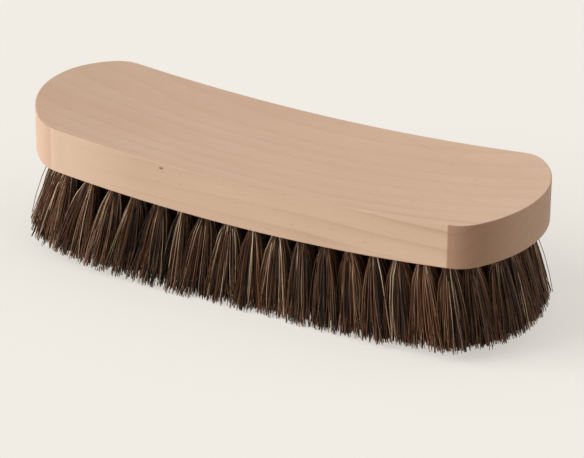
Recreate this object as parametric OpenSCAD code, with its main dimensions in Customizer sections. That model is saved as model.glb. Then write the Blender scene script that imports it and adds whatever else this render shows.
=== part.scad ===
// Shoe shine brush: a bowed hardwood block set with rows of folded horsehair tufts.
// X runs along the brush, Y across it and Z up. The origin is on the floor, under the middle of the brush.

/* [Handle block] */
// Length of the wooden block
block_len = 203; // [185:1:225]
// Width of the block between its straight sides
block_w = 64; // [56:1:76]
// Thickness of the middle of the block
block_t = 18.3; // [15:0.1:24]
// Radius of the bow along the underside, which lifts the ends
bow_r = 720; // [500:10:2000]
// Radius of the bow along the top, wider than the other so that the ends are a little thinner
top_bow_r = 850; // [500:10:2000]
// Length of each rounded end, from its corners to its tip
end_len = 18; // [15:0.5:26]
// Angle by which an end turns in at its corners
corner_turn = 23; // [8:1:28]
// Radius of the shoulders between the corners and the nose
shoulder_r = 21; // [12:1:28]

/* [Tuft holes] */
// Diameter of the holes drilled for the tufts
hole_d = 4.4; // [3:0.1:5]
// Depth of the holes, from the underside up into the wood
hole_depth = 11; // [8:0.5:13]
// Distance from a side of the block to its outer holes
side_edge = 5.5; // [5:0.5:9]
// Distance from a corner of the block to the last full row of the straight side
corner_edge = 6.2; // [3:0.1:10]
// Distance from the tip of an end to its last row
end_edge = 12.5; // [9:0.5:14]
// Distance from the curved edge of an end to the outer holes of its rows
end_inset = 9.6; // [6:0.2:11]
// Pitch wanted between the holes across the block
hole_pitch = 9.8; // [8.5:0.1:14]

/* [Bristles] */
// Length of the bristles under the block
bristle_len = 33.5; // [22:0.5:45]
// Depth to which the middle bristles are cut flat
flat_trim = 0.5; // [0.3:0.1:1]
// Distance that the tips stand out past the sides
side_flare = 3; // [0:0.5:6]
// Distance that the tips stand out past the ends
end_flare = 1; // [0:0.5:4]
// Gap between the locks of a tuft where they leave their hole
lock_gap = 0.2; // [0.1:0.05:0.4]
// Share of its place that a lock fills at its tip
tip_fill = 0.86; // [0.6:0.02:0.94]

/* [Tuft roots] */
// Thickness of the slice of underside that joins a row
slice_t = 1.2; // [0.8:0.1:2]
// Width of the rim of the block round the slices
rim_w = 2.6; // [2:0.1:2.8]
// Clearance round a slice, a root and an anchor
root_clear = 0.05; // [0.03:0.01:0.1]

/* [Anchors] */
// Thickness of the flat wire of an anchor
anchor_t = 0.5; // [0.3:0.1:0.8]
// Width of the flat wire, which stands upright in the hole
anchor_h = 1.6; // [1:0.1:2.4]
// Depth to which an anchor bites into the wood on each side
anchor_bite = 0.4; // [0.2:0.1:0.8]
// Depth of the fold of hair behind an anchor
anchor_fold = 2; // [1.5:0.1:3]

/* [Hidden] */
$fn = 48;
BOW_FN = 720;
SHOULDER_STEPS = 12;
NOSE_STEPS = 16;
WOOD = "#d8b08a";
HAIR = "#45301f";
WIRE = "#b9b7b0";

// Rows are counted from the middle one, which is 0, to the last one at each end
SIDE_ROWS = 8;
LAST_ROW = 10;
ROWS = 2 * LAST_ROW + 1;
NOSE_SHARE = 0.9;
PLUG_SIDES = 12;

// Heights, with the floor at 0
under_z = bristle_len - flat_trim;
bow_z = under_z + bow_r;
top_bow_z = under_z + block_t + top_bow_r;
tip_bow_r = bow_r + bristle_len;

// The plan of an end: a corner, a shoulder arc and a nose arc, tangent to the shoulders
corner_x = block_len / 2 - end_len;
shoulder = min(shoulder_r, 0.95 * end_len / (1 - sin(corner_turn)), 0.9 * block_w / 2 / cos(corner_turn));
shoulder_x = corner_x - shoulder * sin(corner_turn);
shoulder_y = block_w / 2 - shoulder * cos(corner_turn);
shoulder_back = block_len / 2 - shoulder_x;
nose_r = (pow(shoulder_back, 2) + pow(shoulder_y, 2) - pow(shoulder, 2)) / (2 * (shoulder_back - shoulder));
nose_x = block_len / 2 - nose_r;
nose_ray = [shoulder_x - nose_x, shoulder_y] / norm([shoulder_x - nose_x, shoulder_y]);

// Rows and tips
row_pitch = (corner_x - corner_edge) / SIDE_ROWS;
end_row_x = block_len / 2 - end_edge;
end_pitch = (end_row_x - SIDE_ROWS * row_pitch) / (LAST_ROW - SIDE_ROWS);
tip_x_scale = (block_len / 2 + end_flare) / (block_len / 2);
tip_y_scale = (block_w / 2 + side_flare) / (block_w / 2);
row_spread = (block_len / 2 + end_flare) / (end_row_x + end_pitch / 2);

// Roots and anchors: locks and plugs both end inside the slice, at their own depths
lock_start = 0.4 * slice_t;
plug_start = 0.7 * slice_t;
root_half = (hole_d / 2 - root_clear) / sqrt(2);
anchor_top = hole_depth - anchor_fold;

function two_digits(i) = i < 10 ? str("0", i) : str(i);
function row_name(kind, i) = str(kind, "_row_", two_digits(i));
ROW_NUMBERS = [for (i = [1 : ROWS]) i];

// Half the width of the plan at a distance x from the middle, measured inside an edge that is moved in
function arc_rise(r, along) = sqrt(max(0, r * r - along * along));
function nose_or_shoulder(a, inset) =
    a < nose_x + (nose_r - inset) * nose_ray.x
        ? shoulder_y + arc_rise(shoulder - inset, a - shoulder_x)
        : arc_rise(nose_r - inset, a - nose_x);
function half_width(x, inset = 0) =
    abs(x) <= shoulder_x
        ? block_w / 2 - inset
        : min(block_w / 2 - inset, nose_or_shoulder(abs(x), inset));

// Half the length of the plan at a distance y from the middle
function half_length(y) =
    abs(y) <= nose_r * nose_ray.y
        ? nose_x + arc_rise(nose_r, y)
        : shoulder_x + arc_rise(shoulder, abs(y) - shoulder_y);

// Height of the underside, and of the trimmed tips, which are flat in the middle
function underside_z(x) = bow_z - sqrt(bow_r * bow_r - x * x);
function tip_z(x) = max(0, bow_z - sqrt(tip_bow_r * tip_bow_r - x * x));

// Where a row lies, and where its part of the brush begins and ends
function row_x(r) = r <= SIDE_ROWS ? r * row_pitch : SIDE_ROWS * row_pitch + (r - SIDE_ROWS) * end_pitch;
function row_edge(r) = r < 0 ? -row_edge(0) : (row_x(r) + row_x(r + 1)) / 2;
function outer_hole_y(r) = half_width(row_x(r), r > SIDE_ROWS ? end_inset : side_edge);
function holes_across(r) = 1 + round(2 * outer_hole_y(r) / hole_pitch);
function across(j, n) = 2 * (j + 0.5) / n - 1;
function root_y(r, j, n) = (2 * j / (n - 1) - 1) * outer_hole_y(r);
function root_point(r, j, n) = [row_x(r), root_y(r, j, n), underside_z(row_x(r))];

// A point of the tips: t runs from 0 to 1 along a row's part of the brush, v from -1 to 1 across the brush
function tip_half_width(x) = tip_y_scale * half_width(x / tip_x_scale);
function tip_half_length(y) = tip_x_scale * half_length(y / tip_y_scale);
function tip_start(r) = row_spread * row_edge(r - 1);
function nose_y(r, v) = v * NOSE_SHARE * tip_half_width(tip_start(r));
function tip_end(r, v) = r == LAST_ROW ? tip_half_length(nose_y(r, v)) : row_spread * row_edge(r);
function tip_x(r, t, v) = tip_start(r) + t * (tip_end(r, v) - tip_start(r));
function tip_y(r, t, v) = r == LAST_ROW ? nose_y(r, v) : v * tip_half_width(tip_x(r, t, v));
function tip_point(r, t, v) = [tip_x(r, t, v), tip_y(r, t, v), tip_z(tip_x(r, t, v))];

// The plan of the block, or of what lies inside its edge by an inset: two ends of three arcs each
function arc(center, r, from, to, steps) = [
    for (k = [0 : steps]) let (a = from + (to - from) * k / steps) center + r * [cos(a), sin(a)]
];
function end_outline(inset) =
    let (
        ray = atan2(nose_ray.y, nose_ray.x),
        corner = asin((block_w / 2 - inset - shoulder_y) / (shoulder - inset)),
        past_nose = ray + (corner - ray) / SHOULDER_STEPS
    )
    concat(
        arc([shoulder_x, -shoulder_y], shoulder - inset, -corner, -past_nose, SHOULDER_STEPS - 1),
        arc([nose_x, 0], nose_r - inset, -ray, ray, NOSE_STEPS),
        arc([shoulder_x, shoulder_y], shoulder - inset, past_nose, corner, SHOULDER_STEPS - 1)
    );

module plan(inset = 0) {
    end = end_outline(inset);
    polygon(concat(end, [for (p = end) -p]));
}

// The side view of a layer, from a height above the underside up to a bow of its own
module layer_profile(low, upper_r, upper_z) {
    intersection() {
        difference() {
            translate([0, bow_z]) circle(bow_r - low, $fn = BOW_FN);
            translate([0, upper_z]) circle(upper_r, $fn = BOW_FN);
        }
        translate([-block_len, 0]) square([2 * block_len, under_z + 4 * block_t]);
    }
}

// That layer, cut to the plan that is drawn
module bowed(low, upper_r, upper_z) {
    intersection() {
        translate([0, block_w, 0]) rotate([90, 0, 0])
            linear_extrude(height = 2 * block_w) layer_profile(low, upper_r, upper_z);
        linear_extrude(height = under_z + 3 * block_t) children();
    }
}

// A layer of even thickness between two heights above the underside
module even_layer(low, high) {
    bowed(low, bow_r - high, bow_z) children();
}

// Turns what is drawn along +Z to the line of a tuft, from its root at the underside up into the wood
module along_tuft(r, j, n) {
    root = root_point(r, j, n);
    up = root - tip_point(r, 0.5, across(j, n));
    lean = acos(up.z / norm(up));
    heading = atan2(up.y, up.x);
    translate(root) rotate([0, lean, heading]) rotate([0, 0, -heading]) children();
}

module each_hole(r) {
    n = holes_across(r);
    for (j = [0 : n - 1]) {
        along_tuft(r, j, n) children();
    }
}

// A row at its own place: rows before the middle one mirror those after it
module at_row(i) {
    mirror([i <= LAST_ROW ? 1 : 0, 0, 0]) children();
}
function from_middle(i) = abs(i - LAST_ROW - 1);

// A flat wire across the hole, which bites into the wood on both sides, with room round it
module anchor(room = 0) {
    size = [hole_d + 2 * anchor_bite, anchor_t, anchor_h] + 2 * room * [1, 1, 1];
    translate([-size.x / 2, -size.y / 2, anchor_top - anchor_h - room]) cube(size);
}

module handle_block() {
    color(WOOD) difference() {
        bowed(0, top_bow_r, top_bow_z) plan();
        even_layer(-slice_t, slice_t) plan(rim_w);
        for (i = ROW_NUMBERS) {
            at_row(i) each_hole(from_middle(i)) {
                cylinder(d = hole_d, h = hole_depth);
                anchor(root_clear);
            }
        }
    }
}

// The slice of underside that carries one row
module slice(r) {
    start = row_edge(r - 1) + root_clear;
    end = r == LAST_ROW ? block_len / 2 : row_edge(r) - root_clear;
    even_layer(0, slice_t - root_clear) intersection() {
        plan(rim_w + root_clear);
        translate([start, -block_w / 2]) square([end - start, block_w]);
    }
}

// The folded root of one tuft, round its anchor
module root_plug() {
    difference() {
        translate([0, 0, plug_start])
            cylinder(d = hole_d - 2 * root_clear, h = hole_depth - root_clear - plug_start, $fn = PLUG_SIDES);
        anchor(root_clear);
    }
}

// One lock of hair, straight and four-sided, from inside the slice down to the trimmed tips
module lock(root, r, t, v) {
    ring = [[0, 0], [1, 0], [1, 1], [0, 1]];
    top = [for (k = ring) [root.x[k.x], root.y[k.y], root.z]];
    tip = [for (k = ring) tip_point(r, t[k.x], v[k.y])];
    sides = [for (k = [0 : 3]) let (next = (k + 1) % 4) each [[k, next, next + 4], [k, next + 4, k + 4]]];
    ends = [[0, 2, 1], [0, 3, 2], [4, 5, 6], [4, 6, 7]];
    polyhedron(points = concat(top, tip), faces = concat(ends, sides));
}

// The two halves of a place, each drawn in to leave a gap, for the two locks that share it
function root_halves(middle) = [
    [middle - root_half, middle - lock_gap / 2],
    [middle + lock_gap / 2, middle + root_half]
];
function tip_halves(start, width) = [
    for (k = [0, 1]) [for (s = [-1, 1]) start + width * (2 * k + 1 + s * tip_fill) / 4]
];

module tuft(r, j, n) {
    root = root_point(r, j, n);
    root_x = root_halves(root.x);
    root_y = root_halves(root.y);
    tip_t = tip_halves(0, 1);
    tip_v = tip_halves(across(j, n) - 1 / n, 2 / n);
    for (a = [0, 1], b = [0, 1]) {
        lock([root_x[a], root_y[b], root.z + lock_start], r, tip_t[a], tip_v[b]);
    }
}

module tuft_row(i) {
    r = from_middle(i);
    n = holes_across(r);
    color(HAIR) at_row(i) {
        slice(r);
        each_hole(r) root_plug();
        for (j = [0 : n - 1]) {
            tuft(r, j, n);
        }
    }
}

module anchor_row(i) {
    color(WIRE) at_row(i) each_hole(from_middle(i)) anchor();
}

handle_block();
for (i = ROW_NUMBERS) {
    tuft_row(i);
    anchor_row(i);
}
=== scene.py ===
import math
import random

import bpy
import numpy as np
from bpy.props import FloatProperty, FloatVectorProperty, IntProperty, PointerProperty
from mathutils import Matrix, Vector


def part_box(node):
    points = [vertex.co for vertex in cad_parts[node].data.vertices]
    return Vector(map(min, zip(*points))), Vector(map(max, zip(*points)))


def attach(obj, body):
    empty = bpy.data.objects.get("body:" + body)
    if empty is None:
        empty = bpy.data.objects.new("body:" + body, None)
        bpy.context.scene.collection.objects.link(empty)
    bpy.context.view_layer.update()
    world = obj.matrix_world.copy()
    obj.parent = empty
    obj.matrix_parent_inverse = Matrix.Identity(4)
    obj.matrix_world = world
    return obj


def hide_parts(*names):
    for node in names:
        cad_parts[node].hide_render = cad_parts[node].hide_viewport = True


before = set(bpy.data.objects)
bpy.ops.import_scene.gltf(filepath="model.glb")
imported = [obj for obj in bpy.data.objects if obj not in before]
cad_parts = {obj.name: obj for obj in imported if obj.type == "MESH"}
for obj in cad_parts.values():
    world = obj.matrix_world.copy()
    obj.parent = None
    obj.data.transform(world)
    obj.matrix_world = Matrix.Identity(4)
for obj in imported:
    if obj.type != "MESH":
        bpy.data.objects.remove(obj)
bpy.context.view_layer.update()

bl_info = {
    "name": "Shoe shine brush",
    "version": (1, 0, 0),
    "blender": (4, 5, 0),
    "location": "View3D > Sidebar > Brush",
    "description": "Dresses a bowed wooden block with rows of horsehair tufts",
    "category": "Object",
}

MM = 0.001
BLOCK_LOW, BLOCK_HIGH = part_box("handle_block")

# Rows are counted from the middle one, which is 0, to the last one at each end
SIDE_ROWS = 8
LAST_ROW = 10
ROW_NUMBERS = range(1, 2 * LAST_ROW + 2)

# Share of the width at its inner edge over which the last row's tips lie
NOSE_SHARE = 0.9

# Pieces of an outline between its corners, and rows of faces across the block
STRAIGHT_STEPS = 40
CORNER_STEPS = 6
SHOULDER_STEPS = 14
NOSE_STEPS = 12
CAP_COLUMNS = 20
EDGE_STEPS = 5
WALL_STEPS = 4

# How far a support line lies from its eased edge, as a share of the edge's radius
SUPPORT_SHARE = 0.5

# Locks of hair in a tuft, along and across the row's place
LOCKS_ALONG = 3
LOCKS_ACROSS = 3

# Share of a tuft's place by which the tip of a lock may stray, and the seed of what it draws
LOCK_STRAY = 0.14
LOCK_SEED = 11

# Share of a hole's radius that the roots of its locks take up
PACKED_SHARE = 0.62

# Share of a hole's width by which a hair may leave its lock's root
ROOT_STRAY = 0.125

# Share of their spread by which locks are drawn in, so that their outer hairs end at the brush's outline
DRAWN_IN = 0.5

# How a hair is made: points along it, sides of its tube, and the width of its tip as a share of its root's
POINTS_PER_HAIR = 5
HAIR_SIDES = 3
TIP_WIDTH = 0.85

# The thinnest and the thickest hair, as shares of the usual width
HAIR_WIDTHS = (0.75, 1.2)

# Higher powers leave more of the hairs at nearly their full length
CUT_POWER = 2.0

# The middle line of a hair comes no lower than this
FLOOR_GAP = 0.1 * MM

# The seeds of two rows lie this far apart, and each thing left to chance in a hair adds its own
ROW_SEED = 100
CHANCE_SEEDS = {"cut": 3, "root": 5, "tip": 7, "swing": 9, "tone": 11, "lock tone": 13, "width": 15}


def srgb(red, green, blue):
    """A linear colour from the 0 to 255 values that a screen shows."""
    shares = (value / 255 for value in (red, green, blue))
    return tuple(s / 12.92 if s <= 0.04045 else ((s + 0.055) / 1.055) ** 2.4 for s in shares)


def length_setting(name, description, default):
    return FloatProperty(name=name, description=description, default=default, unit="LENGTH")


def number_setting(name, description, default):
    return FloatProperty(name=name, description=description, default=default)


def colour_setting(name, description, red, green, blue):
    """A colour setting whose default is given by its 0 to 255 values."""
    default = srgb(red, green, blue)
    return FloatVectorProperty(name=name, description=description, default=default, subtype="COLOR", size=3)


class BrushHandleSettings(bpy.types.PropertyGroup):
    """Sizes and colours of the wooden block."""

    length: length_setting("Length", "Length of the block", BLOCK_HIGH.x - BLOCK_LOW.x)
    width: length_setting("Width", "Width between the straight sides", BLOCK_HIGH.y - BLOCK_LOW.y)
    thickness: length_setting("Thickness", "Thickness of the middle of the block", 18.3 * MM)
    underside: length_setting("Underside", "Height of the middle of the underside", BLOCK_LOW.z)
    bow_radius: length_setting("Bow radius", "Radius of the bow along the underside", 720 * MM)
    top_bow_radius: length_setting("Top bow radius", "Radius of the bow along the top", 850 * MM)
    end_length: length_setting("End length", "Length of each rounded end", 18 * MM)
    corner_turn: FloatProperty(
        name="Corner turn",
        description="Angle by which an end turns in",
        default=math.radians(23),
        subtype="ANGLE",
    )
    shoulder_radius: length_setting("Shoulder radius", "Radius between a corner and the nose", 21 * MM)
    corner_round: length_setting("Corner round", "Radius of the upright corners", 12 * MM)
    edge_round: length_setting("Edge round", "Radius of the eased edges", 0.4 * MM)
    pale_wood: colour_setting("Pale wood", "Colour of the wood", 214, 182, 155)
    warm_wood: colour_setting("Warm wood", "Colour of the late growth", 201, 166, 138)
    # Painted shade: this colour also darkens the right end and the eased edge round the top
    dark_wood_and_shade: colour_setting("Dark wood", "Colour of flecks, streaks, end grain and worn edge", 150, 110, 82)
    # Painted light: the colour to which the sides and the left end pale towards the left
    painted_light_wood: colour_setting("Sap wood", "Palest wood, near one end", 232, 199, 172)
    knot_wood: colour_setting("Knot wood", "Colour of the knot", 112, 78, 56)
    # Painted shade: besides the end grain, this darkness stands in for the shade on the right end
    end_grain_and_shade: number_setting("End grain", "How much darker the end grain is", 0.8)


class BrushBristleSettings(bpy.types.PropertyGroup):
    """Sizes, counts and colours of the hair."""

    length: length_setting("Length", "Length of the hair", 33.5 * MM)
    side_flare: length_setting("Side flare", "How far the tips stand out past the sides", 3 * MM)
    end_flare: length_setting("End flare", "How far the tips stand out past the ends", 1 * MM)
    hole: length_setting("Hole", "Diameter of a tuft at its hole", 4.4 * MM)
    side_edge: length_setting("Side edge", "Distance from a side to its holes", 5.5 * MM)
    corner_edge: length_setting("Corner edge", "Distance from a corner to the last full row", 6.2 * MM)
    end_edge: length_setting("End edge", "Distance from an end to its last row", 12.5 * MM)
    end_inset: length_setting("End inset", "Distance from an end's curved edge to its holes", 9.6 * MM)
    pitch: length_setting("Pitch", "Pitch wanted across the block", 9.8 * MM)
    hairs: IntProperty(name="Hairs in a lock", description="Hairs in each lock of a tuft", default=42)
    width: length_setting("Hair width", "Width of a hair at its root", 0.34 * MM)
    lock_spread: length_setting("Lock spread", "How far a lock opens at its tips", 3 * MM)
    opening: number_setting("Opening", "1 fans out evenly, less opens sooner", 0.65)
    uneven: number_setting("Uneven tips", "Share of its length that a hair may lack", 0.045)
    wave: length_setting("Wave", "How far a hair bows sideways", 1.2 * MM)
    sway: length_setting("Sway", "How far use has brushed the tips towards one end", 0.5 * MM)
    black: colour_setting("Black hair", "Darkest hair", 13, 8, 5)
    brown: colour_setting("Brown hair", "Usual hair", 96, 65, 43)
    red: colour_setting("Red hair", "Reddish hair", 126, 81, 53)
    grey: colour_setting("Grey hair", "Palest hair", 206, 180, 148)


class BrushStageSettings(bpy.types.PropertyGroup):
    """Colours and light levels of the stage."""

    floor: colour_setting("Floor", "Colour of the floor", 243, 239, 231)
    sky: number_setting("Sky", "Strength of the even light", 0.44)
    key: number_setting("Key", "Strength of the soft main light", 3.2)
    fill: number_setting("Fill", "Strength of the soft light from the right", 0.95)


def unit_vector(x, y):
    return np.array([x, y]) / math.hypot(x, y)


class Form:
    """Plan, bow and tips of the brush, in metres, worked out from its settings."""

    def __init__(self, handle, bristles):
        self.half_long = handle.length / 2
        self.half_wide = handle.width / 2
        self.thickness = handle.thickness
        self.under_z = handle.underside
        self.bow_r = handle.bow_radius
        self.bow_z = self.under_z + self.bow_r
        self.top_bow_r = handle.top_bow_radius
        self.top_bow_z = self.under_z + self.thickness + self.top_bow_r
        self.fillet = handle.corner_round
        self.corner_x = self.half_long - handle.end_length
        self.shoulder = handle.shoulder_radius
        self.shoulder_x = self.corner_x - self.shoulder * math.sin(handle.corner_turn)
        self.shoulder_y = self.half_wide - self.shoulder * math.cos(handle.corner_turn)
        back = self.half_long - self.shoulder_x
        self.nose_r = (back**2 + self.shoulder_y**2 - self.shoulder**2) / (2 * (back - self.shoulder))
        self.nose_x = self.half_long - self.nose_r
        self.nose_ray = unit_vector(self.shoulder_x - self.nose_x, self.shoulder_y)

        self.tip_bow_r = self.bow_r + bristles.length
        self.side_edge = bristles.side_edge
        self.end_inset = bristles.end_inset
        self.pitch = bristles.pitch
        self.row_pitch = (self.corner_x - bristles.corner_edge) / SIDE_ROWS
        self.end_row_x = self.half_long - bristles.end_edge
        self.end_pitch = (self.end_row_x - SIDE_ROWS * self.row_pitch) / (LAST_ROW - SIDE_ROWS)
        self.tip_x_scale = (self.half_long + bristles.end_flare) / self.half_long
        self.tip_y_scale = (self.half_wide + bristles.side_flare) / self.half_wide
        self.row_spread = (self.half_long + bristles.end_flare) / (self.end_row_x + self.end_pitch / 2)

    def half_width(self, x, inset=0.0):
        """Half of the plan's width at x, with its outline drawn in by an inset."""
        x = abs(x)
        if x <= self.shoulder_x:
            return self.half_wide - inset
        if x < self.nose_x + (self.nose_r - inset) * self.nose_ray[0]:
            y = self.shoulder_y + math.sqrt(max(0, (self.shoulder - inset) ** 2 - (x - self.shoulder_x) ** 2))
        else:
            y = math.sqrt(max(0, (self.nose_r - inset) ** 2 - (x - self.nose_x) ** 2))
        return min(self.half_wide - inset, y)

    def half_length(self, y):
        """Half of the plan's length at y."""
        if abs(y) <= self.nose_r * self.nose_ray[1]:
            return self.nose_x + math.sqrt(self.nose_r**2 - y * y)
        return self.shoulder_x + math.sqrt(max(0, self.shoulder**2 - (abs(y) - self.shoulder_y) ** 2))

    def height(self, x, above):
        """Height of the layer that lies a given distance above the middle of the underside."""
        low = self.bow_z - np.sqrt(self.bow_r**2 - x * x)
        high = self.top_bow_z - np.sqrt(self.top_bow_r**2 - x * x)
        return low + (high - low) * above / self.thickness

    def tip_z(self, x):
        """Height of the tips, which follow the bow and are trimmed level with the floor."""
        return max(0.0, self.bow_z - math.sqrt(self.tip_bow_r**2 - x * x))

    def row_x(self, row):
        return min(row, SIDE_ROWS) * self.row_pitch + max(0, row - SIDE_ROWS) * self.end_pitch

    def row_edge(self, row):
        """Where a row's part of the brush ends, halfway to the next row."""
        return -self.row_edge(0) if row < 0 else (self.row_x(row) + self.row_x(row + 1)) / 2

    def outer_hole_y(self, row):
        return self.half_width(self.row_x(row), self.end_inset if row > SIDE_ROWS else self.side_edge)

    def holes_across(self, row):
        return 1 + round(2 * self.outer_hole_y(row) / self.pitch)

    def root(self, row, hole, holes):
        """Where a tuft leaves the underside."""
        x = self.row_x(row)
        y = (2 * hole / (holes - 1) - 1) * self.outer_hole_y(row)
        return np.array([x, y, self.height(x, 0)])

    def tip_half_width(self, x):
        return self.tip_y_scale * self.half_width(x / self.tip_x_scale)

    def tip_half_length(self, y):
        return self.tip_x_scale * self.half_length(y / self.tip_y_scale)

    def tip(self, row, along, across):
        """A point of the tips: along runs from 0 to 1 over a row's part of the brush, across from -1 to 1."""
        start = self.row_spread * self.row_edge(row - 1)
        nose_y = across * NOSE_SHARE * self.tip_half_width(start)
        end = self.tip_half_length(nose_y) if row == LAST_ROW else self.row_spread * self.row_edge(row)
        x = start + along * (end - start)
        y = nose_y if row == LAST_ROW else across * self.tip_half_width(x)
        return np.array([x, y, self.tip_z(x)])

    def quarter(self):
        """Points and outward normals of a quarter of the plan, from the middle of a side to the nose."""
        fillet_y = self.half_wide - self.fillet
        reach = self.shoulder - self.fillet
        fillet_x = self.shoulder_x + math.sqrt(reach**2 - (fillet_y - self.shoulder_y) ** 2)
        turn = math.atan2(fillet_y - self.shoulder_y, fillet_x - self.shoulder_x)
        ray = math.atan2(self.nose_ray[1], self.nose_ray[0])
        arcs = [
            ((fillet_x, fillet_y), self.fillet, math.pi / 2, turn, CORNER_STEPS),
            ((self.shoulder_x, self.shoulder_y), self.shoulder, turn, ray, SHOULDER_STEPS),
            ((self.nose_x, 0.0), self.nose_r, ray, 0.0, NOSE_STEPS),
        ]
        points = [(fillet_x * k / STRAIGHT_STEPS, self.half_wide) for k in range(STRAIGHT_STEPS + 1)]
        normals = [(0.0, 1.0)] * len(points)
        for (x, y), r, begin, end, steps in arcs:
            for k in range(1, steps + 1):
                a = begin + (end - begin) * k / steps
                points.append((x + r * math.cos(a), y + r * math.sin(a)))
                normals.append((math.cos(a), math.sin(a)))
        return np.array(points), np.array(normals)


def form():
    """The brush's form with the scene's present settings."""
    scene = bpy.context.scene
    return Form(scene.brush_handle, scene.brush_bristles)


def input_socket(node, key):
    """An input by its number, its identifier or its name."""
    if isinstance(key, int):
        return node.inputs[key]
    return next((s for s in node.inputs if s.identifier == key), None) or node.inputs[key]


def add_node(tree, kind, inputs=None, **settings):
    """A node with its settings; an input takes a value, or the output that feeds it."""
    node = tree.nodes.new(kind)
    for name, value in settings.items():
        setattr(node, name, value)
    for key, value in (inputs or {}).items():
        target = input_socket(node, key)
        if isinstance(value, bpy.types.NodeSocket):
            tree.links.new(value, target)
        else:
            target.default_value = value
    return node


def math_node(tree, operation, a, b=0.0):
    return add_node(tree, "ShaderNodeMath", {0: a, 1: b}, operation=operation).outputs[0]


def product(tree, a, b):
    return math_node(tree, "MULTIPLY", a, b)


def vector_node(tree, operation, a, b):
    return add_node(tree, "ShaderNodeVectorMath", {0: a, 1: b}, operation=operation).outputs[0]


def scaled(tree, vector, scale):
    return add_node(tree, "ShaderNodeVectorMath", {0: vector, "Scale": scale}, operation="SCALE").outputs[0]


def length_of(tree, vector):
    return add_node(tree, "ShaderNodeVectorMath", {0: vector}, operation="LENGTH").outputs["Value"]


def separated(tree, vector):
    """The X, Y and Z of a vector, by name."""
    return add_node(tree, "ShaderNodeSeparateXYZ", {0: vector}).outputs


def ranged(tree, value, low, high, to_low=0.0, to_high=1.0):
    """A value from low to high, moved to another range and kept inside it."""
    inputs = {"Value": value, "From Min": low, "From Max": high, "To Min": to_low, "To Max": to_high}
    return add_node(tree, "ShaderNodeMapRange", inputs).outputs[0]


def mixed(tree, factor, a, b):
    """A mix of two colours."""
    inputs = {"Factor_Float": factor, "A_Color": a, "B_Color": b}
    node = add_node(tree, "ShaderNodeMix", inputs, data_type="RGBA")
    return next(s for s in node.outputs if s.identifier == "Result_Color")


def opaque(colour):
    return (*colour, 1)


def drawn_out(tree, place, share):
    """A place that moves by only a share of its way along X, which draws a pattern out along the wood."""
    return vector_node(tree, "MULTIPLY", place, (share, 1.0, 1.0))


def noise(tree, place, scale, detail=2.0, roughness=0.5):
    inputs = {"Vector": place, "Scale": scale, "Detail": detail, "Roughness": roughness}
    return add_node(tree, "ShaderNodeTexNoise", inputs).outputs["Fac"]


def object_place(tree):
    return add_node(tree, "ShaderNodeTexCoord").outputs["Object"]


def new_group(name, kind, inputs, outputs):
    """An empty node group with its sockets, and its input and output nodes."""
    tree = bpy.data.node_groups.new(name, kind)
    for title, socket, default in inputs:
        made = tree.interface.new_socket(title, in_out="INPUT", socket_type=socket)
        if default is not None:
            made.default_value = default
    for title, socket in outputs:
        tree.interface.new_socket(title, in_out="OUTPUT", socket_type=socket)
    return tree, tree.nodes.new("NodeGroupInput"), tree.nodes.new("NodeGroupOutput")


def shared_group(name, build):
    """A node group that is built once and then shared."""
    return bpy.data.node_groups.get(name) or build()


def new_material(name):
    """A material with its tree and its Principled shader."""
    material = bpy.data.materials.new(name)
    material.use_nodes = True
    return material, material.node_tree, material.node_tree.nodes["Principled BSDF"]


# Share of a point's way along the wood that each pattern of the grain follows
WANDER_SHARE = 0.10
LAYER_SHARE = 0.035
FIBRE_SHARE = 0.028
FLECK_SHARE = 0.22

# How many waves of wander lie in a metre across the grain, and how much it counts
WANDERS_PER_METRE = 45.0
WANDER_WEIGHT = 2.0

# The heart of the tree, to the far side and far under the block
HEART = (0.0, 52 * MM, -30 * MM)

# A layer darkens slowly towards its late growth and ends sharply
LATE_POWER = 3.0
LAYER_END = (0.93, 1.0)

# The noise from which a fleck begins to show, and at which it is full
FLECK_RANGE = (0.66, 0.76)

GRAIN_INPUTS = [
    ("Place", "NodeSocketVector", None),
    ("Layers per Metre", "NodeSocketFloat", 230.0),
    ("Wander", "NodeSocketFloat", 0.0035),
    ("Fibres per Metre", "NodeSocketFloat", 1500.0),
    ("Flecks per Metre", "NodeSocketFloat", 1400.0),
]
GRAIN_OUTPUTS = [("Layers", "NodeSocketFloat"), ("Fibres", "NodeSocketFloat"), ("Flecks", "NodeSocketFloat")]


def wood_grain_group():
    """Growth layers, fibres and flecks of a board that was sawn along its grain."""
    tree, given, result = new_group("wood_grain", "ShaderNodeTree", GRAIN_INPUTS, GRAIN_OUTPUTS)
    inputs = given.outputs
    place = inputs["Place"]

    # Noise lies about a half, so that the layers wander to both sides
    wander = noise(tree, drawn_out(tree, place, WANDER_SHARE), WANDERS_PER_METRE, detail=3.0)
    wander = product(tree, math_node(tree, "SUBTRACT", wander, 0.5), inputs["Wander"])

    from_heart = vector_node(tree, "SUBTRACT", place, HEART)
    distance = length_of(tree, drawn_out(tree, from_heart, LAYER_SHARE))
    layer = math_node(tree, "ADD", distance, product(tree, wander, WANDER_WEIGHT))
    saw = math_node(tree, "FRACT", product(tree, layer, inputs["Layers per Metre"]))
    late = math_node(tree, "POWER", saw, LATE_POWER)
    drop = math_node(tree, "SUBTRACT", 1.0, ranged(tree, saw, *LAYER_END))
    tree.links.new(product(tree, late, drop), result.inputs["Layers"])

    along = drawn_out(tree, place, FIBRE_SHARE)
    fibres = noise(tree, along, inputs["Fibres per Metre"], detail=4.0, roughness=0.6)
    tree.links.new(fibres, result.inputs["Fibres"])

    dashes = drawn_out(tree, place, FLECK_SHARE)
    flecks = noise(tree, dashes, inputs["Flecks per Metre"], detail=1.0, roughness=0.4)
    tree.links.new(ranged(tree, flecks, *FLECK_RANGE), result.inputs["Flecks"])
    return tree


# Broad patches of warmer wood: the share of a point's way along the wood that they follow, and their scale
PATCH_SHARE = 0.25
PATCHES_PER_METRE = 55.0

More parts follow.
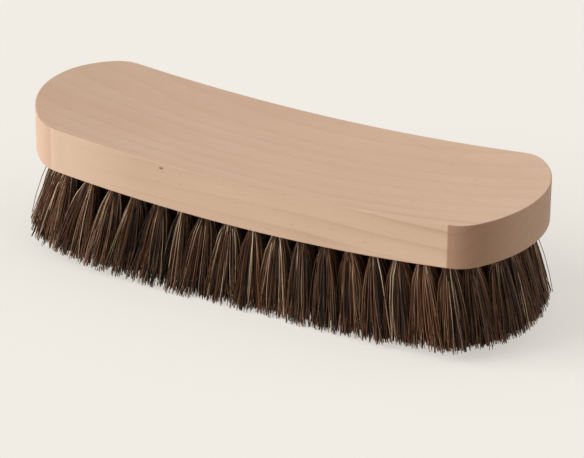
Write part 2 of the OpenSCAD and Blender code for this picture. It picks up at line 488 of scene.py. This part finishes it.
# What a pattern runs from and to, and how much it warms the wood at each
PATCH_WARMTH = (0.3, 0.7, 0.0, 0.55)
FIBRE_WARMTH = (0.35, 0.75, 0.0, 0.35)

# How much late growth warms the wood, and how much a fleck darkens it
LATE_WARMTH = 0.55
FLECK_DEPTH = 0.18

# A face this level isn't a side at all, and one this upright is a side in full
SIDE_FACING = (0.8, 0.5)

# Painted light: along the sides the wood pales from the first place to the second, by nothing and by the last
# value
SIDE_PAINTED_LIGHT = (-45 * MM, -75 * MM, 0.0, 0.8)

# Where the darker end grain, deepened by painted shade at the right end, begins at the right and at the left
# end, and where it is full
RIGHT_CUT = (78.8 * MM, 79.4 * MM)
LEFT_CUT = (-82.0 * MM, -83.0 * MM)

# Shares of the full darkness of end grain and painted shade that the left end has, and that the right end
# keeps at its nose, where less painted shade stands in for light from the right
LEFT_DEPTH = 0.35
NOSE_DEPTH = 0.55

# Where the right end's painted shade begins to fade towards its nose
NOSE_FADE_X = 91 * MM

# Towards the far side the right end's painted shade fades between these two places, from one share to the
# other
FAR_FADE = (20 * MM, 30 * MM, 1.0, 0.3)

# Where the streaks of late growth lie, in which of the broad patches, and how dark they are
STREAKS_ACROSS = (-23 * MM, -31 * MM)
STREAKS_ALONG = (-15 * MM, 25 * MM)
STREAK_PATCHES = (0.35, 0.6)
STREAK_DEPTH = 0.45

# Painted shade on the eased edge round the top lies between nearly upright faces and nearly level ones
EDGE_SHADE_ABOVE_SIDE = (0.1, 0.5)
EDGE_SHADE_BELOW_TOP = (0.99, 0.85)
EDGE_SHADE_DEPTH = 0.35

# The small knot on the near side: how far along it is, and how far above the middle of the underside
KNOT_X = -35.8 * MM
KNOT_ABOVE = 16.7 * MM

# How far the knot reaches from its middle each way, and how it darkens from there inwards
KNOT_REACH = (1.2 * MM, 3.0 * MM, 0.7 * MM)
KNOT_FADE = (1.0, 0.3, 0.0, 0.85)

# The sheen and relief of sanded wood
WOOD_ROUGHNESS = (0.2, 0.8, 0.50, 0.62)
WOOD_BUMP = 0.25
WOOD_RELIEF = 0.05 * MM
WOOD_SPECULAR = 0.35


def grain_colour(tree, settings, grain, broad):
    """Pale wood, warmer in broad patches, late growth and fibres, with short dark flecks."""
    warm = opaque(settings.warm_wood)
    base = mixed(tree, ranged(tree, broad, *PATCH_WARMTH), opaque(settings.pale_wood), warm)
    layered = mixed(tree, product(tree, grain["Layers"], LATE_WARMTH), base, warm)
    fibred = mixed(tree, ranged(tree, grain["Fibres"], *FIBRE_WARMTH), layered, warm)
    return mixed(tree, product(tree, grain["Flecks"], FLECK_DEPTH), fibred, opaque(settings.dark_wood_and_shade))


def with_ends(tree, settings, where, facing, colour):
    """Painted light pales the sides towards the left end, and past the corners the cut bares darker end
    grain, with painted shade on the right end.
    """
    upright = ranged(tree, math_node(tree, "ABSOLUTE", facing), *SIDE_FACING)
    painted_light = product(tree, ranged(tree, where["X"], *SIDE_PAINTED_LIGHT), upright)
    side_lit_colour = mixed(tree, painted_light, colour, opaque(settings.painted_light_wood))
    # Painted shade: the right end is darkened from just before its corner, less towards its nose and its far
    # side
    full = settings.end_grain_and_shade
    depth = ranged(tree, where["X"], NOSE_FADE_X, settings.length / 2, full, NOSE_DEPTH * full)
    depth = product(tree, depth, ranged(tree, where["Y"], *FAR_FADE))
    right = product(tree, ranged(tree, where["X"], *RIGHT_CUT), depth)
    left = product(tree, ranged(tree, where["X"], *LEFT_CUT), LEFT_DEPTH * full)
    cut = product(tree, math_node(tree, "MAXIMUM", right, left), upright)
    return mixed(tree, cut, side_lit_colour, opaque(settings.dark_wood_and_shade))


def with_streaks(tree, settings, where, layers, broad, colour):
    """Late growth shows as a few brown streaks near the right part of the near edge."""
    across = ranged(tree, where["Y"], *STREAKS_ACROSS)
    region = product(tree, across, ranged(tree, where["X"], *STREAKS_ALONG))
    streaks = product(tree, product(tree, layers, region), ranged(tree, broad, *STREAK_PATCHES))
    return mixed(tree, product(tree, streaks, STREAK_DEPTH), colour, opaque(settings.dark_wood_and_shade))


def with_edge_shade(tree, settings, facing, colour):
    """Painted shade darkens the eased edge round the top, against the highlight that the light gives it."""
    painted_shade = product(tree, ranged(tree, facing, *EDGE_SHADE_ABOVE_SIDE), ranged(tree, facing, *EDGE_SHADE_BELOW_TOP))
    return mixed(tree, product(tree, painted_shade, EDGE_SHADE_DEPTH), colour, opaque(settings.dark_wood_and_shade))


def with_knot(tree, settings, place, colour):
    """The knot, an oval that reaches a little way into the wood."""
    knot = (KNOT_X, -settings.width / 2, settings.underside + KNOT_ABOVE)
    offset = vector_node(tree, "DIVIDE", vector_node(tree, "SUBTRACT", place, knot), KNOT_REACH)
    return mixed(tree, ranged(tree, length_of(tree, offset), *KNOT_FADE), colour, opaque(settings.knot_wood))


def wood_material(settings):
    """Sanded, unfinished wood with a fine, straight grain."""
    material, tree, shader = new_material("sanded_wood")
    place = object_place(tree)
    group = shared_group("wood_grain", wood_grain_group)
    grain = add_node(tree, "ShaderNodeGroup", {"Place": place}, node_tree=group).outputs
    broad = noise(tree, drawn_out(tree, place, PATCH_SHARE), PATCHES_PER_METRE)
    where = separated(tree, place)
    normal = add_node(tree, "ShaderNodeNewGeometry").outputs["Normal"]
    facing = separated(tree, normal)["Z"]

    colour = grain_colour(tree, settings, grain, broad)
    colour = with_ends(tree, settings, where, facing, colour)
    colour = with_streaks(tree, settings, where, grain["Layers"], broad, colour)
    colour = with_edge_shade(tree, settings, facing, colour)
    colour = with_knot(tree, settings, place, colour)
    tree.links.new(colour, shader.inputs["Base Color"])

    tree.links.new(ranged(tree, grain["Fibres"], *WOOD_ROUGHNESS), shader.inputs["Roughness"])
    raised = math_node(tree, "SUBTRACT", grain["Fibres"], grain["Flecks"])
    relief = {"Height": raised, "Strength": WOOD_BUMP, "Distance": WOOD_RELIEF}
    bump = add_node(tree, "ShaderNodeBump", relief)
    tree.links.new(bump.outputs["Normal"], shader.inputs["Normal"])
    shader.inputs["Specular IOR Level"].default_value = WOOD_SPECULAR
    return material


# A hair's tone is its own, with this share of its lock's
LOCK_TONE_SHARE = 0.15

# Tones over which black turns to brown, brown to red and red to grey
BROWN_TONES = (0.22, 0.40)
RED_TONES = (0.50, 0.70)
GREY_TONES = (0.80, 0.92)

# Painted shade that the tone loses from the left to the right of the brush, and painted highlight that it
# gains near the block
PAINTED_SHADE_TO_RIGHT = (-90 * MM, 90 * MM, -0.02, 0.06)
ROOT_PAINTED_HIGHLIGHT = (0.1, 0.45, 0.08, 0.0)

# The sheen of horsehair
HAIR_ROUGHNESS = (0.0, 1.0, 0.42, 0.60)
HAIR_SPECULAR = 0.3


def material_attribute(tree, name):
    return add_node(tree, "ShaderNodeAttribute", attribute_name=name).outputs["Fac"]


def hair_material(settings):
    """Horsehair: each hair has its own tone, from near black through brown and red to a pale grey."""
    material, tree, shader = new_material("horsehair")
    own = material_attribute(tree, "tone")
    lock = material_attribute(tree, "lock_tone")
    along = material_attribute(tree, "along")
    own_part = product(tree, own, 1 - LOCK_TONE_SHARE)
    tone = math_node(tree, "ADD", own_part, product(tree, lock, LOCK_TONE_SHARE))

    # Painted shade: the hair is a little darker towards the right end
    where = separated(tree, object_place(tree))
    tone = math_node(tree, "SUBTRACT", tone, ranged(tree, where["X"], *PAINTED_SHADE_TO_RIGHT))
    # Painted highlight: near the block the hair is paler
    tone = math_node(tree, "ADD", tone, ranged(tree, along, *ROOT_PAINTED_HIGHLIGHT))

    dark = mixed(tree, ranged(tree, tone, *BROWN_TONES), opaque(settings.black), opaque(settings.brown))
    warm = mixed(tree, ranged(tree, tone, *RED_TONES), dark, opaque(settings.red))
    pale = mixed(tree, ranged(tree, tone, *GREY_TONES), warm, opaque(settings.grey))
    tree.links.new(pale, shader.inputs["Base Color"])
    tree.links.new(ranged(tree, own, *HAIR_ROUGHNESS), shader.inputs["Roughness"])
    shader.inputs["Specular IOR Level"].default_value = HAIR_SPECULAR
    return material


# Share of a point's way along the wire that its drawn lines follow, and their scale
DRAWN_SHARE = 0.05
LINES_PER_METRE = 9000.0

# The wire's two tones of steel, and what its lines do to its roughness
BRIGHT_STEEL = srgb(196, 194, 188)
DULL_STEEL = srgb(160, 158, 152)
WIRE_ROUGHNESS = (0.3, 0.7, 0.28, 0.42)


def wire_material():
    """Bright steel wire with faint drawn lines."""
    material, tree, shader = new_material("anchor_wire")
    lines = noise(tree, drawn_out(tree, object_place(tree), DRAWN_SHARE), LINES_PER_METRE)
    tree.links.new(mixed(tree, lines, opaque(BRIGHT_STEEL), opaque(DULL_STEEL)), shader.inputs["Base Color"])
    tree.links.new(ranged(tree, lines, *WIRE_ROUGHNESS), shader.inputs["Roughness"])
    shader.inputs["Metallic"].default_value = 1.0
    return material


def linked(name, data):
    """An object in the scene, at the origin."""
    made = bpy.data.objects.new(name, data)
    bpy.context.scene.collection.objects.link(made)
    return made


def new_piece(name, vertices, faces, material):
    """A smooth-shaded mesh object; each face is given anticlockwise, as seen from outside."""
    mesh = bpy.data.meshes.new(name)
    mesh.from_pydata([tuple(v) for v in vertices], [], faces)
    mesh.materials.append(material)
    mesh.polygons.foreach_set("use_smooth", [True] * len(mesh.polygons))
    mesh.validate()
    return linked(name, mesh)


def whole_outline(points):
    """The closed plan from a quarter of it, counted from the middle of the far side, clockwise from above."""
    right = np.concatenate([points, (points * (1, -1))[-2::-1]])
    return np.concatenate([right, (right * (-1, 1))[-2:0:-1]])


def edge_profile(thickness, radius):
    """Inset and height, up the side of the block, with a support line by each eased edge."""
    support = SUPPORT_SHARE * radius
    turn = [math.pi / 2 * k / EDGE_STEPS for k in range(EDGE_STEPS + 1)]
    low = [(radius * (1 - math.sin(a)), radius * (1 - math.cos(a))) for a in turn]
    high = [(inset, thickness - height) for inset, height in reversed(low)]
    first = radius + support
    last = thickness - radius - support
    wall = [(0.0, first + (last - first) * k / WALL_STEPS) for k in range(WALL_STEPS + 1)]
    return [(radius + support, 0.0)] + low + wall + high + [(radius + support, thickness)]


def handle_mesh(brush, radius):
    """Vertices and faces of the bowed block: rings up its side, and grids that close it."""
    points, normals = brush.quarter()
    outline = whole_outline(points)
    outward = whole_outline(normals)
    count = len(outline)
    vertices = []
    faces = []
    profile = edge_profile(brush.thickness, radius)
    for inset, above in profile:
        ring = outline - inset * outward
        vertices += [(x, y, brush.height(x, above)) for x, y in ring]
    for level in range(len(profile) - 1):
        for k in range(count):
            a = level * count + k
            b = level * count + (k + 1) % count
            faces.append((a, a + count, b + count, b))

    half = count // 2
    for level, above, upward in ((0, 0.0, False), (len(profile) - 1, brush.thickness, True)):
        close_cap(brush, vertices, faces, level * count, half, above, upward)
    return vertices, faces


def close_cap(brush, vertices, faces, first, half, above, upward):
    """A grid across the block between the two sides of a ring, from one nose to the other."""
    nose = half // 2
    tail = half + half // 2
    pairs = [(nose - k, nose + k) for k in range(1, half)]
    rows = []
    for far, near in pairs:
        far = first + far % (2 * half)
        near = first + near % (2 * half)
        (x, y_far, _), (_, y_near, _) = vertices[far], vertices[near]
        z = brush.height(x, above)
        row = [far]
        for k in range(1, CAP_COLUMNS):
            row.append(len(vertices))
            vertices.append((x, y_far + (y_near - y_far) * k / CAP_COLUMNS, z))
        rows.append(row + [near])
    made = []
    for a, b in zip(rows, rows[1:]):
        made += [(a[k], a[k + 1], b[k + 1], b[k]) for k in range(CAP_COLUMNS)]
    made += [(first + nose, rows[0][k + 1], rows[0][k]) for k in range(CAP_COLUMNS)]
    made += [(first + tail, rows[-1][k], rows[-1][k + 1]) for k in range(CAP_COLUMNS)]
    faces += [tuple(reversed(face)) for face in made] if upward else made


HAIR_INPUTS = [
    ("Locks", "NodeSocketGeometry", None),
    ("Hairs per Lock", "NodeSocketInt", 12),
    ("Points per Hair", "NodeSocketInt", 6),
    ("Root Spread", "NodeSocketFloat", 0.0005),
    ("Lock Spread", "NodeSocketFloat", 0.002),
    ("Hair Width", "NodeSocketFloat", 0.0003),
    ("Opening", "NodeSocketFloat", 1.0),
    ("Uneven Tips", "NodeSocketFloat", 0.05),
    ("Wave", "NodeSocketFloat", 0.0005),
    ("Seed", "NodeSocketInt", 1),
    ("Material", "NodeSocketMaterial", None),
]
HAIR_OUTPUTS = [("Hair", "NodeSocketGeometry")]


def named_attribute(tree, name, kind="FLOAT"):
    return add_node(tree, "GeometryNodeInputNamedAttribute", {"Name": name}, data_type=kind).outputs[0]


def stored(tree, geometry, name, value, kind="FLOAT"):
    """A geometry whose points carry a value under a name."""
    inputs = {"Geometry": geometry, "Name": name}
    node = add_node(tree, "GeometryNodeStoreNamedAttribute", inputs, data_type=kind, domain="POINT")
    tree.links.new(value, node.inputs["Value"])
    return node.outputs[0]


def copied(tree, points, amount):
    """Each point as many times as the amount says, and the number of each copy."""
    inputs = {"Geometry": points, "Amount": amount}
    return add_node(tree, "GeometryNodeDuplicateElements", inputs, domain="POINT").outputs


def chance(tree, seed, owner, what, kind="FLOAT"):
    """A random number from 0 to 1, or a vector from -1 to 1, the same at every point of an owner."""
    inputs = {0: seed, 1: CHANCE_SEEDS[what]}
    own_seed = add_node(tree, "FunctionNodeIntegerMath", inputs, operation="ADD").outputs[0]
    node = add_node(tree, "FunctionNodeRandomValue", {"ID": owner, "Seed": own_seed}, data_type=kind)
    if kind == "FLOAT_VECTOR":
        node.inputs["Min"].default_value = (-1.0, -1.0, -1.0)
        node.inputs["Max"].default_value = (1.0, 1.0, 1.0)
        return node.outputs["Value"]
    return next(s for s in node.outputs if s.identifier == "Value_001")


def level_stray(tree, seed, hair, what, reach):
    """A random level step, of up to a given length along X and along Y."""
    step = vector_node(tree, "MULTIPLY", chance(tree, seed, hair, what, "FLOAT_VECTOR"), (1.0, 1.0, 0.0))
    return scaled(tree, step, reach)


def hair_points(tree, inputs):
    """The points of every hair, with how far along it each lies and which hair and lock it belongs to."""
    index = add_node(tree, "GeometryNodeInputIndex").outputs[0]
    points = add_node(tree, "GeometryNodeMeshToPoints", {"Mesh": inputs["Locks"]}).outputs[0]
    locks = stored(tree, points, "lock_id", index, "INT")
    hairs = copied(tree, locks, inputs["Hairs per Lock"])["Geometry"]
    hairs = stored(tree, hairs, "hair_id", index, "INT")
    steps = copied(tree, hairs, inputs["Points per Hair"])
    last = math_node(tree, "SUBTRACT", inputs["Points per Hair"], 1.0)
    share = math_node(tree, "DIVIDE", steps["Duplicate Index"], last)
    return stored(tree, steps["Geometry"], "along", share)


def hair_place(tree, inputs, hair, along):
    """Where a point of a hair lies, between its tuft's hole and tip, fanned out and bowed."""
    seed = inputs["Seed"]

    # Hairs are cut to slightly different lengths
    short = math_node(tree, "POWER", chance(tree, seed, hair, "cut"), CUT_POWER)
    lack = product(tree, short, inputs["Uneven Tips"])
    reach = product(tree, along, math_node(tree, "SUBTRACT", 1.0, lack))

    root = add_node(tree, "GeometryNodeInputPosition").outputs[0]
    middle = vector_node(tree, "SUBTRACT", named_attribute(tree, "tuft_tip", "FLOAT_VECTOR"), root)
    middle = vector_node(tree, "ADD", root, scaled(tree, middle, reach))

    root_stray = level_stray(tree, seed, hair, "root", inputs["Root Spread"])
    root_off = vector_node(tree, "ADD", named_attribute(tree, "lock_root", "FLOAT_VECTOR"), root_stray)
    tip_stray = level_stray(tree, seed, hair, "tip", inputs["Lock Spread"])
    tip_off = vector_node(tree, "ADD", named_attribute(tree, "lock_tip", "FLOAT_VECTOR"), tip_stray)
    opened = math_node(tree, "POWER", reach, inputs["Opening"])
    across = scaled(tree, vector_node(tree, "SUBTRACT", tip_off, root_off), opened)
    fan = vector_node(tree, "ADD", root_off, across)

    # A hair bows most in its middle, and not at its ends
    bow = product(tree, product(tree, along, math_node(tree, "SUBTRACT", 1.0, along)), 4.0)
    swing = level_stray(tree, seed, hair, "swing", product(tree, bow, inputs["Wave"]))
    place = vector_node(tree, "ADD", vector_node(tree, "ADD", middle, fan), swing)

    # The floor holds a hair up; sideways the limit lies a metre off and holds nothing
    return vector_node(tree, "MAXIMUM", place, (-1.0, -1.0, FLOOR_GAP))


def hair_tubes(tree, inputs, points, hair, along):
    """Tapered tubes along the hairs, some a little wider than others."""
    path = {"Points": points, "Curve Group ID": hair, "Weight": along}
    curves = add_node(tree, "GeometryNodePointsToCurves", path).outputs[0]
    width = ranged(tree, chance(tree, inputs["Seed"], hair, "width"), 0.0, 1.0, *HAIR_WIDTHS)
    taper = product(tree, ranged(tree, along, 0.0, 1.0, 1.0, TIP_WIDTH), width)
    section = add_node(tree, "GeometryNodeCurvePrimitiveCircle", {"Resolution": HAIR_SIDES}, mode="RADIUS")
    tree.links.new(product(tree, inputs["Hair Width"], 0.5), section.inputs["Radius"])
    shape = {"Curve": curves, "Profile Curve": section.outputs[0], "Scale": taper, "Fill Caps": True}
    tubes = add_node(tree, "GeometryNodeCurveToMesh", shape).outputs[0]
    return add_node(tree, "GeometryNodeSetShadeSmooth", {"Geometry": tubes}).outputs[0]


def hair_tree():
    """Turns points, one for each lock of a tuft, into tapered hairs that fan out from the hole."""
    tree, given, result = new_group("brush_hair", "GeometryNodeTree", HAIR_INPUTS, HAIR_OUTPUTS)
    inputs = given.outputs
    points = hair_points(tree, inputs)
    along = named_attribute(tree, "along")
    hair = named_attribute(tree, "hair_id", "INT")
    lock = named_attribute(tree, "lock_id", "INT")
    place = hair_place(tree, inputs, hair, along)
    moved = add_node(tree, "GeometryNodeSetPosition", {"Geometry": points, "Position": place}).outputs[0]
    moved = stored(tree, moved, "tone", chance(tree, inputs["Seed"], hair, "tone"))
    moved = stored(tree, moved, "lock_tone", chance(tree, inputs["Seed"], lock, "lock tone"))
    tubes = hair_tubes(tree, inputs, moved, hair, along)
    real = add_node(tree, "GeometryNodeRealizeInstances", {"Geometry": tubes}).outputs[0]
    dress = {"Geometry": real, "Material": inputs["Material"]}
    dressed = add_node(tree, "GeometryNodeSetMaterial", dress).outputs[0]
    tree.links.new(dressed, result.inputs["Hair"])
    return tree


def lock_mesh(name, brush, bristles, row, side, draw):
    """A vertex for each lock of a row's tufts, with its tuft's tip and its own offsets at root and tip."""
    mirror = np.array([side, 1, 1])
    holes = brush.holes_across(row)
    roots, tips, root_offs, tip_offs = [], [], [], []
    packed = PACKED_SHARE * bristles.hole / 2
    inward = 1 - DRAWN_IN * bristles.lock_spread / np.array([brush.half_long, brush.half_wide, np.inf])
    for hole in range(holes):
        root = brush.root(row, hole, holes)
        middle = brush.tip(row, 0.5, 2 * (hole + 0.5) / holes - 1) * inward
        for i in range(LOCKS_ALONG):
            for j in range(LOCKS_ACROSS):
                u = (i + 0.5) / LOCKS_ALONG + draw.uniform(-LOCK_STRAY, LOCK_STRAY)
                v = (j + 0.5) / LOCKS_ACROSS + draw.uniform(-LOCK_STRAY, LOCK_STRAY)
                tip = brush.tip(row, u, 2 * (hole + v) / holes - 1) * inward
                roots.append(root * mirror)
                tips.append(middle * mirror - (bristles.sway, 0, 0))
                root_offs.append(np.array([2 * u - 1, 2 * v - 1, 0]) * packed * mirror)
                tip_offs.append((tip - middle) * mirror)
    mesh = bpy.data.meshes.new(name)
    mesh.from_pydata([tuple(p) for p in roots], [], [])
    for title, values in (("tuft_tip", tips), ("lock_root", root_offs), ("lock_tip", tip_offs)):
        made = mesh.attributes.new(title, "FLOAT_VECTOR", "POINT")
        made.data.foreach_set("vector", np.array(values, np.float32).ravel())
    return mesh


def grown(name, mesh, tree, values):
    """A plain mesh object from what a geometry tree makes of a mesh."""
    source = linked(name + "_locks", mesh)
    modifier = source.modifiers.new("hair", "NODES")
    modifier.node_group = tree
    for item in tree.interface.items_tree:
        if item.item_type == "SOCKET" and item.in_out == "INPUT" and item.name in values:
            modifier[item.identifier] = values[item.name]
    grown_mesh = bpy.data.meshes.new_from_object(source.evaluated_get(bpy.context.evaluated_depsgraph_get()))
    source.modifiers.remove(modifier)
    bpy.data.objects.remove(source)
    grown_mesh.name = name
    return linked(name, grown_mesh)


class SHOEBRUSH_OT_handle(bpy.types.Operator):
    """Make the wooden block"""

    bl_idname = "shoe_brush.handle"
    bl_label = "Make Handle"

    def execute(self, context):
        settings = context.scene.brush_handle
        vertices, faces = handle_mesh(form(), settings.edge_round)
        piece = new_piece("wooden_handle", vertices, faces, wood_material(settings))
        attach(piece, "root")
        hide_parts("handle_block")
        return {"FINISHED"}


class SHOEBRUSH_OT_bristles(bpy.types.Operator):
    """Make the rows of horsehair"""

    bl_idname = "shoe_brush.bristles"
    bl_label = "Make Bristles"

    def execute(self, context):
        bristles = context.scene.brush_bristles
        brush = form()
        tree = hair_tree()
        material = hair_material(bristles)
        draw = random.Random(LOCK_SEED)
        for number in ROW_NUMBERS:
            row = abs(number - LAST_ROW - 1)
            side = -1 if number <= LAST_ROW else 1
            name = f"hair_row_{number:02d}"
            mesh = lock_mesh(name + "_points", brush, bristles, row, side, draw)
            values = {
                "Hairs per Lock": bristles.hairs,
                "Points per Hair": POINTS_PER_HAIR,
                "Root Spread": ROOT_STRAY * bristles.hole,
                "Lock Spread": bristles.lock_spread,
                "Hair Width": bristles.width,
                "Opening": bristles.opening,
                "Uneven Tips": bristles.uneven,
                "Wave": bristles.wave,
                "Seed": ROW_SEED * number,
                "Material": material,
            }
            piece = grown(name, mesh, tree, values)
            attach(piece, "root")
            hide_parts(f"tuft_row_{number:02d}")
        return {"FINISHED"}


class SHOEBRUSH_OT_anchors(bpy.types.Operator):
    """Give the anchors their steel"""

    bl_idname = "shoe_brush.anchors"
    bl_label = "Finish Anchors"

    def execute(self, context):
        material = wire_material()
        for number in ROW_NUMBERS:
            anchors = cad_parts[f"anchor_row_{number:02d}"]
            for slot in anchors.material_slots:
                slot.material = material
        return {"FINISHED"}


# The camera, as the photograph was taken: its direction and distance from the brush, and how it is tilted
CAMERA_AZIMUTH = math.radians(26.82)
CAMERA_ELEVATION = math.radians(27.5)
CAMERA_ROLL = math.radians(0.52)
CAMERA_DISTANCE = 1291.5 * MM

# Its focal length in pixels of a picture this wide, its sensor in millimetres and how many metres it sees
FOCAL_PIXELS = 3491.3
PICTURE_WIDTH = 584
SENSOR = 36.0
CLIP_END = 50.0

# The point that the camera looks at, counted from the middle of the underside
AIM_RIGHT = 1.55 * MM
AIM_UP = -12.84 * MM

# Half of the floor's width in metres, and its roughness
FLOOR_HALF = 6.0
FLOOR_ROUGHNESS = 0.9

# Shares of the floor's colour that it gives back as light, and that it shows whatever falls on it
FLOOR_BOUNCE = 0.45
FLOOR_EVEN = 0.58


def stage_camera(centre):
    """The camera, turned so that the brush stands in the picture as it does in the photograph."""
    sin_a = math.sin(CAMERA_AZIMUTH)
    cos_a = math.cos(CAMERA_AZIMUTH)
    sin_e = math.sin(CAMERA_ELEVATION)
    cos_e = math.cos(CAMERA_ELEVATION)
    forward = Vector((-sin_a * cos_e, cos_a * cos_e, -sin_e))
    right = Vector((cos_a, sin_a, 0.0))
    up = right.cross(forward)
    place = centre - CAMERA_DISTANCE * forward
    aim = centre + AIM_RIGHT * right + AIM_UP * up
    camera = linked("camera", bpy.data.cameras.new("camera"))
    turn = (aim - place).to_track_quat("-Z", "Y").to_matrix().to_4x4()
    camera.matrix_world = Matrix.Translation(place) @ turn @ Matrix.Rotation(CAMERA_ROLL, 4, "Z")
    camera.data.sensor_width = SENSOR
    camera.data.lens = FOCAL_PIXELS / PICTURE_WIDTH * SENSOR
    camera.data.clip_end = CLIP_END
    bpy.context.scene.camera = camera


def stage_floor(colour):
    """A pale floor that shows its full colour to the camera and gives less of it back as light."""
    material, tree, shader = new_material("floor")
    ray = add_node(tree, "ShaderNodeLightPath").outputs
    seen = math_node(tree, "MAXIMUM", ray["Is Camera Ray"], ray["Is Glossy Ray"])
    dimmed = tuple(FLOOR_BOUNCE * c for c in colour)
    tree.links.new(mixed(tree, seen, opaque(dimmed), opaque(colour)), shader.inputs["Base Color"])
    shader.inputs["Roughness"].default_value = FLOOR_ROUGHNESS
    shader.inputs["Specular IOR Level"].default_value = 0.0
    even = add_node(tree, "ShaderNodeEmission", {"Color": opaque(colour), "Strength": 1.0}).outputs[0]
    share = product(tree, seen, FLOOR_EVEN)
    blend = add_node(tree, "ShaderNodeMixShader", {0: share, 1: shader.outputs[0], 2: even}).outputs[0]
    tree.links.new(blend, tree.nodes["Material Output"].inputs["Surface"])
    h = FLOOR_HALF
    floor = new_piece("floor", [(-h, -h, 0), (h, -h, 0), (h, h, 0), (-h, h, 0)], [(0, 1, 2, 3)], material)


# Which way the two soft lamps shine, and how broad they are
KEY_DIRECTION = (0.75, 0.52, -0.41)
KEY_SPREAD = math.radians(50)
FILL_DIRECTION = (-0.9, -0.25, -0.28)
FILL_SPREAD = math.radians(90)


def stage_light(settings):
    """An even sky, a broad soft lamp from the front left and a weak one from the right."""
    world = bpy.data.worlds.new("studio")
    world.use_nodes = True
    background = world.node_tree.nodes["Background"]
    background.inputs["Color"].default_value = (1, 1, 1, 1)
    background.inputs["Strength"].default_value = settings.sky
    bpy.context.scene.world = world
    for name, strength, spread, direction in (
        ("key", settings.key, KEY_SPREAD, KEY_DIRECTION),
        ("fill", settings.fill, FILL_SPREAD, FILL_DIRECTION),
    ):
        lamp = bpy.data.lights.new(name, "SUN")
        lamp.energy = strength
        lamp.angle = spread
        light = linked(name, lamp)
        light.rotation_euler = Vector(direction).to_track_quat("-Z", "Y").to_euler()


class SHOEBRUSH_OT_stage(bpy.types.Operator):
    """Make the floor, the light and the camera"""

    bl_idname = "shoe_brush.stage"
    bl_label = "Make Stage"

    def execute(self, context):
        settings = context.scene.brush_stage
        stage_floor(settings.floor)
        stage_light(settings)
        stage_camera(Vector((0, 0, context.scene.brush_handle.underside)))
        context.scene.view_settings.view_transform = "Standard"
        return {"FINISHED"}


class SHOEBRUSH_PT_panel(bpy.types.Panel):
    """The brush's pieces and settings"""

    bl_label = "Shoe Shine Brush"
    bl_space_type = "VIEW_3D"
    bl_region_type = "UI"
    bl_category = "Brush"

    def draw(self, context):
        scene = context.scene
        for operator in OPERATORS:
            self.layout.operator(operator.bl_idname)
        for settings in (scene.brush_handle, scene.brush_bristles, scene.brush_stage):
            box = self.layout.box()
            for name in settings.bl_rna.properties.keys():
                if name not in ("rna_type", "name"):
                    box.prop(settings, name)


OPERATORS = (SHOEBRUSH_OT_handle, SHOEBRUSH_OT_bristles, SHOEBRUSH_OT_anchors, SHOEBRUSH_OT_stage)
SETTINGS = {
    "brush_handle": BrushHandleSettings,
    "brush_bristles": BrushBristleSettings,
    "brush_stage": BrushStageSettings,
}


def register():
    for made in (*SETTINGS.values(), *OPERATORS, SHOEBRUSH_PT_panel):
        bpy.utils.register_class(made)
    for name, settings in SETTINGS.items():
        setattr(bpy.types.Scene, name, PointerProperty(type=settings))


def unregister():
    for name in SETTINGS:
        delattr(bpy.types.Scene, name)
    for made in reversed((*SETTINGS.values(), *OPERATORS, SHOEBRUSH_PT_panel)):
        bpy.utils.unregister_class(made)


def main():
    register()
    bpy.ops.shoe_brush.handle()
    bpy.ops.shoe_brush.bristles()
    bpy.ops.shoe_brush.anchors()
    bpy.ops.shoe_brush.stage()


if __name__ == "__main__":
    main()
